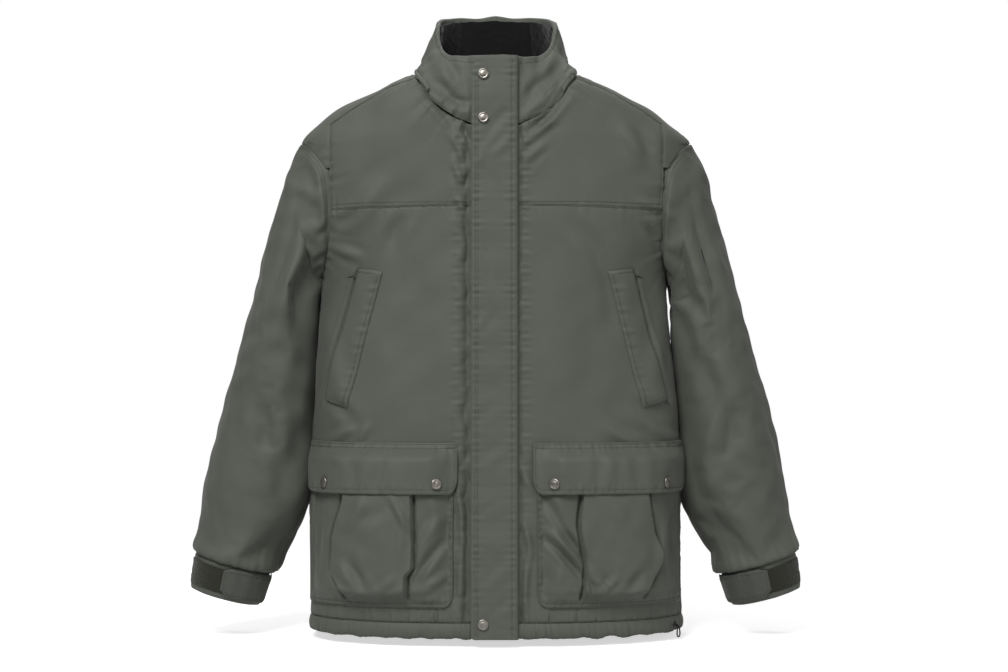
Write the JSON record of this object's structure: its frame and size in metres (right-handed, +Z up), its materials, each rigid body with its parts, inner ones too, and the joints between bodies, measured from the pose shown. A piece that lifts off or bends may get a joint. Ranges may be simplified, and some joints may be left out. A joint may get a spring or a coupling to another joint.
{
  "type": "padded country jacket",
  "caption": "Padded hip-length work jacket with stand collar, zip under a snapped storm flap, bellows and hand-warmer pockets and hook-and-loop cuffs.",
  "frame": {"origin": "centre of the neck opening, level with the side of the collar's base", "axes": "+Z up, front towards -Y, +X towards the wearer's left"},
  "size_m": [0.882, 0.3005, 0.8994],
  "materials": {
    "shell": "plain-woven dark olive-grey nylon with a faint sheen",
    "trim": "plain-woven olive-grey pocketing",
    "lining": "black brushed fleece, quilted",
    "tape": "tightly woven dark tape",
    "hook_and_loop": "dark olive loop pile and hooks",
    "cord": "braided elastic cord",
    "zip_plastic": "moulded dark olive teeth",
    "zip_metal": "dark nickel",
    "snap_metal": "worn antique nickel"
  },
  "bodies": {
    "jacket_body": {"back_panel": "shell", "back_yoke": "shell", "front_panel_left": "shell", "front_panel_right": "shell", "front_yoke_left": "shell", "front_yoke_right": "shell", "collar_outer": "shell", "collar_lining": "lining", "collar_stow_welt": "trim", "hanger_loop": "tape", "body_lining": "lining", "hem_band": "shell", "hem_cord": "cord", "hem_eyelet": "snap_metal", "drawcord_loop": "cord", "zip_tape_left": "tape", "zip_tape_right": "tape", "zip_teeth_left": "zip_plastic", "zip_teeth_right": "zip_plastic", "zip_bottom_box": "zip_plastic", "storm_flap_binding": "shell", "storm_stud_top": "snap_metal", "storm_stud_upper": "snap_metal", "storm_stud_hem": "snap_metal", "hand_pocket_welt_left": "shell", "hand_pocket_bag_left": "trim", "patch_pocket_left": "shell", "pocket_stud_front_left": "snap_metal", "pocket_stud_side_left": "snap_metal", "hand_pocket_welt_right": "shell", "hand_pocket_bag_right": "trim", "patch_pocket_right": "shell", "pocket_stud_front_right": "snap_metal", "pocket_stud_side_right": "snap_metal"},
    "storm_flap": {"storm_flap": "shell", "storm_cap_top": "snap_metal", "storm_cap_upper": "snap_metal", "storm_cap_hem": "snap_metal"},
    "zip_slider": {"zip_slider": "zip_metal"},
    "zip_puller": {"zip_puller": "zip_metal"},
    "pocket_flap_left": {"pocket_flap_left": "shell", "pocket_cap_front_left": "snap_metal", "pocket_cap_side_left": "snap_metal"},
    "pocket_flap_right": {"pocket_flap_right": "shell", "pocket_cap_front_right": "snap_metal", "pocket_cap_side_right": "snap_metal"},
    "sleeve_left": {"sleeve_left": "shell", "sleeve_lining_left": "lining", "cuff_band_left": "shell", "cuff_loop_patch_left": "hook_and_loop"},
    "cuff_tab_left": {"cuff_tab_left": "shell", "cuff_tab_hook_left": "hook_and_loop"},
    "sleeve_right": {"sleeve_right": "shell", "sleeve_lining_right": "lining", "cuff_band_right": "shell", "cuff_loop_patch_right": "hook_and_loop"},
    "cuff_tab_right": {"cuff_tab_right": "shell", "cuff_tab_hook_right": "hook_and_loop"}
  },
  "joints": [
    {"name": "storm_flap_open", "type": "hinge", "parent": "jacket_body", "child": "storm_flap", "pos_m": [0.0334, -0.12981, -0.3954], "axis": [0, 0.0734, 0.9973], "range_deg": [0, 120]},
    {"name": "zip_slide", "type": "slide", "parent": "jacket_body", "child": "zip_slider", "axis": [0, 0.0734, 0.9973], "range_m": [-0.765, 0]},
    {"name": "zip_puller_lift", "type": "hinge", "parent": "zip_slider", "child": "zip_puller", "pos_m": [0, -0.09326, 0.01111], "axis": [-1, 0, 0], "range_deg": [0, 5]},
    {"name": "pocket_flap_left_lift", "type": "hinge", "parent": "jacket_body", "child": "pocket_flap_left", "pos_m": [0.2004, -0.1033, -0.5186], "axis": [-0.8997, -0.4366, 0], "range_deg": [0, 80]},
    {"name": "pocket_flap_right_lift", "type": "hinge", "parent": "jacket_body", "child": "pocket_flap_right", "pos_m": [-0.2004, -0.1033, -0.5186], "axis": [-0.8997, 0.4366, 0], "range_deg": [0, 80]},
    {"name": "sleeve_left_raise", "type": "hinge", "parent": "jacket_body", "child": "sleeve_left", "pos_m": [0.2834, 0.003, -0.0965], "axis": [0, -1, 0], "range_deg": [0, 60]},
    {"name": "sleeve_right_raise", "type": "hinge", "parent": "jacket_body", "child": "sleeve_right", "pos_m": [-0.2834, 0.003, -0.0965], "axis": [0, 1, 0], "range_deg": [0, 60]},
    {"name": "cuff_tab_left_open", "type": "hinge", "parent": "sleeve_left", "child": "cuff_tab_left", "pos_m": [0.3292, -0.0029, -0.7403], "axis": [0.277, -0.042, -0.96], "range_deg": [0, 75]},
    {"name": "cuff_tab_right_open", "type": "hinge", "parent": "sleeve_right", "child": "cuff_tab_right", "pos_m": [-0.3292, -0.0029, -0.7403], "axis": [0.277, 0.042, 0.96], "range_deg": [0, 75]}
  ]
}
